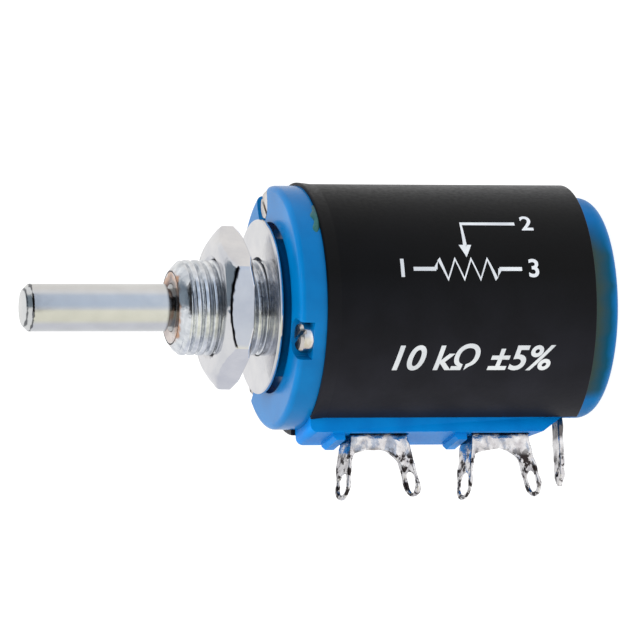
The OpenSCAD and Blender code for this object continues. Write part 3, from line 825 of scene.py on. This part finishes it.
def hex_nut():
    """A hex nut with soft rolled edges, a flat towards the viewer."""
    box_low, box_high = span("mounting_nut")
    low, high = box_low.z + NUT_REAR_TRIM, box_high.z - NUT_FRONT_TRIM
    bore_r = BUSHING_CREST + NUT_GAP
    rows, segments = 44, 240
    edge, countersink, countersink_depth = 0.04, 0.3, 0.25
    heights = [low + (high - low) * k / rows for k in range(rows + 1)]
    vertices, painted_reflections = [], []
    for z in heights:
        for i in range(segments):
            a = math.tau * i / segments
            r, painted_reflection = nut_radius(a if a < math.pi else a - math.tau, z, low, high)
            painted_reflections.append(painted_reflection)
            across = outward(a)
            if z in (low, high):
                r -= edge
            vertices.append(across * r + AXIS * z)
    for r, z in ((bore_r + countersink, high), (bore_r, high - countersink_depth),
                 (bore_r, low + countersink_depth), (bore_r + countersink, low)):
        for i in range(segments):
            a = math.tau * i / segments
            vertices.append(outward(a) * r + AXIS * z)
    faces = grid_faces(len(vertices) // segments, segments, rows_closed=True, columns_closed=True)
    made = make_object("hex_nut", vertices, faces)
    # Each point's share of the painted dark reflection.
    made.data.attributes.new("painted_reflection", "FLOAT", "POINT")
    painted_reflections += [0.0] * (len(vertices) - len(painted_reflections))
    made.data.attributes["painted_reflection"].data.foreach_set("value", painted_reflections)
    fix_normals(made)
    smooth(made, angle=32)
    tilt(made, NUT_TILT, (low + high) / 2)
    show(made, "nut", nut_metal(), "plated_steel", "mounting_nut")


def screws():
    """The slotted screws, their edges broken."""
    for place in ("left", "right", "top"):
        node = "cover_screw_" + place
        made = copy_of(node, "screw_" + place)
        break_edges(made, bevel=0.06)
        show(made, "case", screw_steel, "plated_steel", node)


def paint_mark():
    """A dab of locking paint across the joint of the cover and the sleeve."""
    steps_round, steps_along = 28, 10
    start, end = math.radians(37), math.radians(58)
    half_width, thickness, slant = 0.42, 0.22, 0.55
    seat_r = COVER_HIGH.y - 0.06
    joint = HOUSING_HIGH.z + 0.1
    vertices = []
    for i in range(steps_round + 1):
        s = i / steps_round
        a = start + (end - start) * s
        wobble = noise.noise(Vector((s * 4, 0.3, 0)))
        width = math.sin(math.pi * s) ** 0.6 * (half_width + 0.25 * wobble) + 0.02
        middle = joint - slant * (s - 0.5) + 0.12 * wobble
        for k in range(steps_along + 1):
            t = 2 * k / steps_along - 1
            r = seat_r + thickness * math.sqrt(max(1 - t * t, 0)) * math.sin(math.pi * s) ** 0.5
            vertices.append(outward(a) * r + AXIS * (middle + t * width))
    made = make_object("paint_mark", vertices, grid_faces(steps_round + 1, steps_along + 1))
    fix_normals(made)
    made.data.shade_smooth()
    show(made, "case", teal_paint, "blue_moulding")


# The solder that fills the corners between a bar and its ears: (x, z from the terminal's middle)
REAR_FILLET = [(-11.64, 0.09), (-12.58, 0.09), (-12.78, -0.61), (-13.13, -1.13), (-13.63, -1.52),
               (-14.24, -1.83), (-14.8, -2.02), (-13.8, -2.58), (-12.5, -2.44), (-11.64, -2.32)]
FRONT_FILLET = [(-11.64, 0.09), (-12.58, 0.09), (-12.68, 1.65), (-12.81, 2.05), (-13.0, 2.27),
                (-13.4, 2.38), (-12.5, 2.5), (-11.64, 2.35)]
FILLET_NEAR, FILLET_FAR = -1.56, -1.26
TERMINAL_MIDDLES = {"start": -9.01, "end": -19.61}
BLOCK_FACE = -11.3
EAR_STRETCH = 0.03
WIPER_LEAN = 0.07


def fillet(outline, middle_z):
    """A thin plate in the plane of a terminal's bar."""
    n = len(outline)
    vertices = [(x, y, middle_z + z) for y in (FILLET_NEAR, FILLET_FAR) for x, z in outline]
    faces = [tuple(range(n)), tuple(range(n, 2 * n))]
    faces += [(i, (i + 1) % n, n + (i + 1) % n, n + i) for i in range(n)]
    made = make_object("fillet", vertices, faces)
    edit(made, lambda bm: bmesh.ops.triangulate(bm, faces=bm.faces))
    fix_normals(made)
    return made


def beyond_block(made, work):
    """Moves what stands out of the terminal block: work(v, reach) for each vertex."""
    def move(bm):
        for v in bm.verts:
            reach = BLOCK_FACE * MM - v.co.x
            if reach > 0:
                work(v, reach)
    edit(made, move)


def stretch(middle_z):
    """Front ears a little longer, rear ears a little shorter."""
    def work(v, reach):
        share = max(min((v.co.z / MM - middle_z) / 2, 1), -1)
        v.co.x -= reach * share * EAR_STRETCH
    return work


def lean(v, reach):
    """The wiper's strip leans a little to the front."""
    v.co.z += reach * WIPER_LEAN


def terminals():
    """The three tinned strips, those at the ends with fillets in their corners."""
    tin = solder()
    for place, seed in (("start", 3.1), ("end", 7.7)):
        middle_z = TERMINAL_MIDDLES[place]
        node = "terminal_" + place
        made = copy_of(node, "solder_" + place)
        join(made, fillet(REAR_FILLET, middle_z), fillet(FRONT_FILLET, middle_z))
        beyond_block(made, stretch(middle_z))
        coated(made, voxel=0.05, wobble=0.1, seed=Vector((seed, 0, 0)))
        show(made, "case", tin, "tinned_strip", node)
    made = copy_of("terminal_wiper", "solder_wiper")
    beyond_block(made, lean)
    coated(made, voxel=0.06, wobble=0.06, seed=Vector((0, 5, 0)))
    show(made, "case", tin, "tinned_strip", "terminal_wiper")


SEALED = {
    "resistance_element": wire,
    "tap_clip_start": bronze,
    "tap_clip_end": bronze,
    "collector_spring": bronze,
    "thrust_washer": washer_plastic,
    "retaining_ring": dark_steel,
    "rotor": black_moulding,
    "guide_rod": brass,
    "slip_ring": brass,
    "wiper_carriage": pale_moulding,
    "wiper_contact": bronze,
}


def inner_pieces():
    """The sealed pieces keep their CAD shape and get a finish of their own."""
    for node, material in SEALED.items():
        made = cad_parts[node]
        made.data.materials.clear()
        made.data.materials.append(material)


# Print on the sleeve

PRINT_LIFT = 0.012


def wrap(made, z_left, angle_mid):
    """Lays a flat mesh on the sleeve: its x runs to the rear, its y round the sleeve."""
    radius = SLEEVE_HIGH.y + PRINT_LIFT
    longest = 0.5

    def lay(bm):
        for _ in range(6):
            long_edges = [e for e in bm.edges if e.calc_length() > longest * MM]
            if not long_edges:
                break
            bmesh.ops.subdivide_edges(bm, edges=long_edges, cuts=1)
            bmesh.ops.triangulate(bm, faces=[f for f in bm.faces if len(f.verts) > 4])
        for v in bm.verts:
            a = angle_mid + v.co.y / MM / radius
            v.co = outward(a) * radius * MM + AXIS * (z_left * MM - v.co.x)

    edit(made, lay)


def lettering(name, words, height, slant=0.0):
    """A line of words as a flat mesh, its left end at the origin."""
    curve = bpy.data.curves.new(name, "FONT")
    curve.body = words
    curve.size = height * MM
    curve.shear = slant
    curve.offset = 0.02 * height * MM
    curve.align_y = "CENTER"
    flat = bpy.data.objects.new(name, curve)
    bpy.context.scene.collection.objects.link(flat)
    bpy.context.view_layer.update()
    graph = bpy.context.evaluated_depsgraph_get()
    mesh = bpy.data.meshes.new_from_object(flat.evaluated_get(graph))
    bpy.data.objects.remove(flat)
    made = bpy.data.objects.new(name, mesh)
    bpy.context.scene.collection.objects.link(made)
    edit(made, lambda bm: bmesh.ops.remove_doubles(bm, verts=bm.verts, dist=1e-7))
    return made


def stroke(name, points, width):
    """A line of even width through flat points."""
    points = [Vector(p) for p in points]
    left, right = [], []
    for i, p in enumerate(points):
        along = (points[min(i + 1, len(points) - 1)] - points[max(i - 1, 0)]).normalized()
        across = Vector((-along.y, along.x)) * width / 2
        left.append(p + across)
        right.append(p - across)
    n = len(points)
    vertices = [(p.x, p.y, 0) for p in left + right]
    faces = [(i, i + 1, n + i + 1, n + i) for i in range(n - 1)]
    return make_object(name, vertices, faces)


def zigzag(length, height, teeth):
    """The points of a resistor sign, from its left end to its right end."""
    points = [(0, 0)]
    for k in range(2 * teeth):
        points.append(((k + 0.5) * length / (2 * teeth), height if k % 2 == 0 else -height))
    return points + [(length, 0)]


def print_marks():
    """A plain circuit sign with its terminal numbers, and a plain value below it."""
    line = 0.34
    left = -10.4
    sign_angle, value_angle = math.radians(18), math.radians(-24.5)
    coil_left, coil_right, overlap = 1.9, 7.5, 0.05
    sign_right, wiper_y = 9.4, 4.4
    arrow_x, arrow_tip, arrow_base, arrow_half = 4.7, 1.05, 2.2, 0.55
    number_left, number_right, number_height = -1.5, 9.9, 2.2
    radius = SLEEVE_HIGH.y + PRINT_LIFT
    marks = []

    def place(made, x, angle):
        wrap(made, left - x, angle)
        marks.append(made)

    lines = {
        "sign_coil": [(x + coil_left, y) for x, y in zigzag(coil_right - coil_left, 0.9, 4)],
        "sign_lead_left": [(0, 0), (coil_left + overlap, 0)],
        "sign_lead_right": [(coil_right - overlap, 0), (sign_right, 0)],
        "sign_arrow_line": [(arrow_x, 1.9), (arrow_x, wiper_y), (sign_right, wiper_y)],
    }
    for name, points in lines.items():
        place(stroke(name, points, line), 0, sign_angle)
    corners = [(arrow_x, arrow_tip, 0), (arrow_x + arrow_half, arrow_base, 0),
               (arrow_x - arrow_half, arrow_base, 0)]
    place(make_object("sign_arrow_head", corners, [(0, 1, 2)]), 0, sign_angle)
    for number, x, y in (("1", number_left, 0), ("3", number_right, 0), ("2", number_right, wiper_y)):
        place(lettering("number_" + number, number, number_height), x, sign_angle + y / radius)
    place(lettering("value", "10 k\u03a9 \u00b15%", 3.1, 0.25), -2.2, value_angle)
    first, rest = marks[0], marks[1:]
    first.name = "sleeve_print"
    join(first, *rest)
    show(first, "case", white_ink, "black_film")


# Stage, light and camera

TENT_RADIUS = 80
TENT_LOW, TENT_HIGH = -28.4, 40
DARK_LOW, LID_HEIGHT = 10, 150


def stage():
    """A pale floor that glows a little, level with the part's rear face."""
    reach = 3000
    z = REAR_LOW.z
    corners = [(-reach, -reach, z), (reach, -reach, z), (reach, reach, z), (-reach, reach, z)]
    floor = make_object("floor", corners, [(0, 1, 2, 3)])
    look = Look("pale_floor")
    patches = look.noise(0.002)
    tone = look.spread(patches, 0.3, 0.7, 0, 1)
    look.set("Base Color", look.mixed(tone, colour(120, 120, 120), colour(116, 116, 116)))
    look.set("Roughness", 0.9)
    look.set("Emission Color", (1, 1, 1, 1))
    look.set("Emission Strength", 0.95)
    floor.data.materials.append(look.material)


def glowing(name, colours):
    """A card's light: colours by the angle round the shaft."""
    look = Look(name)
    nodes, links = look.nodes, look.links
    nodes.clear()
    sides = [look.along(direction) for direction in (UP, NEAR)]
    angle = look.maths("ARCTAN2", *sides)
    share = look.spread(angle, -math.pi, math.pi, 0, 1)
    ramp = nodes.new("ShaderNodeValToRGB")
    ramp.color_ramp.interpolation = "LINEAR"
    stops = ramp.color_ramp.elements
    for i, (degrees, tint) in enumerate(colours):
        place = degrees / 360 + 0.5
        if i < 2:
            stops[i].position = place
            stops[i].color = (*tint, 1)
        else:
            stops.new(place).color = (*tint, 1)
    links.new(share, ramp.inputs["Fac"])
    glow = nodes.new("ShaderNodeEmission")
    links.new(ramp.outputs["Color"], glow.inputs["Color"])
    output = nodes.new("ShaderNodeOutputMaterial")
    links.new(glow.outputs["Emission"], output.inputs["Surface"])
    return look.material


def curved_card(name, material, radius, start, end, low, high):
    """Part of a tube between two angles. The camera doesn't see it."""
    steps = 48
    vertices = []
    for i in range(steps + 1):
        a = start + (end - start) * i / steps
        across = outward(a) * radius
        vertices += [across + AXIS * low, across + AXIS * high]
    faces = [(2 * i, 2 * i + 2, 2 * i + 3, 2 * i + 1) for i in range(steps)]
    card = make_object(name, vertices, faces)
    card.data.materials.append(material)
    card.visible_camera = False
    return card


def light_tent():
    """A pale card round the part. A dark card and a grey lid above it show only in reflections."""
    colours = [
        (-179, (0.96, 0.96, 0.96)),
        (-125, (0.78, 0.80, 0.86)),
        (-88, (0.76, 0.78, 0.86)),
        (-62, (0.92, 0.91, 0.78)),
        (-16, (0.98, 0.97, 0.84)),
        (-6, (0.78, 0.82, 0.88)),
        (12, (0.62, 0.72, 0.88)),
        (58, (0.66, 0.75, 0.90)),
        (80, (0.90, 0.91, 0.94)),
        (104, (0.92, 0.90, 0.88)),
        (140, (0.92, 0.91, 0.89)),
        (179, (0.96, 0.96, 0.96)),
    ]
    curved_card("light_card", glowing("card_glow", colours), TENT_RADIUS, -math.pi, math.pi,
                TENT_LOW, TENT_HIGH)
    cloth = surface("cloth", colour(14, 14, 16), colour(8, 8, 10), 0, 0.8, 0.9, 1, 0.01)
    dark = curved_card("dark_card", cloth, TENT_RADIUS - 2, math.radians(-22), math.radians(70),
                       DARK_LOW, LID_HEIGHT)
    corners = [UP * u + NEAR * n + AXIS * LID_HEIGHT
               for u, n in ((0, -90), (105, -90), (105, 80), (0, 80))]
    lid = make_object("grey_lid", corners, [(0, 1, 2, 3)])
    grey = (0.2, 0.25, 0.3)
    lid.data.materials.append(glowing("lid_glow", [(-179, grey), (179, grey)]))
    lid.visible_camera = False
    for made in (dark, lid):
        made.visible_diffuse = False
        made.visible_shadow = False


def softbox(name, direction, distance, width, height, power):
    """A soft light that faces the middle of the object."""
    light = bpy.data.lights.new(name, "AREA")
    light.shape = "RECTANGLE"
    light.size = width * MM
    light.size_y = height * MM
    light.energy = power
    made = bpy.data.objects.new(name, light)
    bpy.context.scene.collection.objects.link(made)
    towards = Vector(direction).normalized()
    made.location = towards * distance * MM
    made.visible_glossy = False
    made.rotation_euler = towards.to_track_quat("Z", "Y").to_euler()


def lights():
    """Two weak softboxes and a bright, even surrounding."""
    softbox("key_light", AXIS + UP * 0.2 + NEAR * 0.2, distance=400, width=200, height=200, power=1.0)
    softbox("low_light", AXIS * 0.7 - UP + NEAR * 0.3, distance=400, width=200, height=120, power=0.5)
    world = bpy.data.worlds.new("studio")
    bpy.context.scene.world = world
    world.use_nodes = True
    background = world.node_tree.nodes["Background"].inputs
    background["Color"].default_value = (0.97, 0.985, 1, 1)
    background["Strength"].default_value = 0.95


def camera():
    """A long lens. The focal length is in pixels of a picture of this width."""
    distance, focal, picture = 601.36, 7153, 640
    aim = AXIS * -5.084 - UP * 1.032
    right = UP.cross(BACK)
    data = bpy.data.cameras.new("camera")
    data.sensor_width = 36
    data.lens = focal / picture * data.sensor_width
    data.clip_start = 0.01
    data.clip_end = 20
    made = bpy.data.objects.new("camera", data)
    bpy.context.scene.collection.objects.link(made)
    turn = Matrix((right, UP, BACK)).transposed().to_4x4()
    made.matrix_world = Matrix.Translation((aim + BACK * distance) * MM) @ turn
    bpy.context.scene.camera = made


threaded_bushing()
shaft()
washer()
sleeve()
rear_cover()
front_flange()
terminal_housing()
hex_nut()
screws()
paint_mark()
terminals()
inner_pieces()
print_marks()
stage()
light_tent()
lights()
camera()
bpy.context.scene.view_settings.view_transform = "Standard"
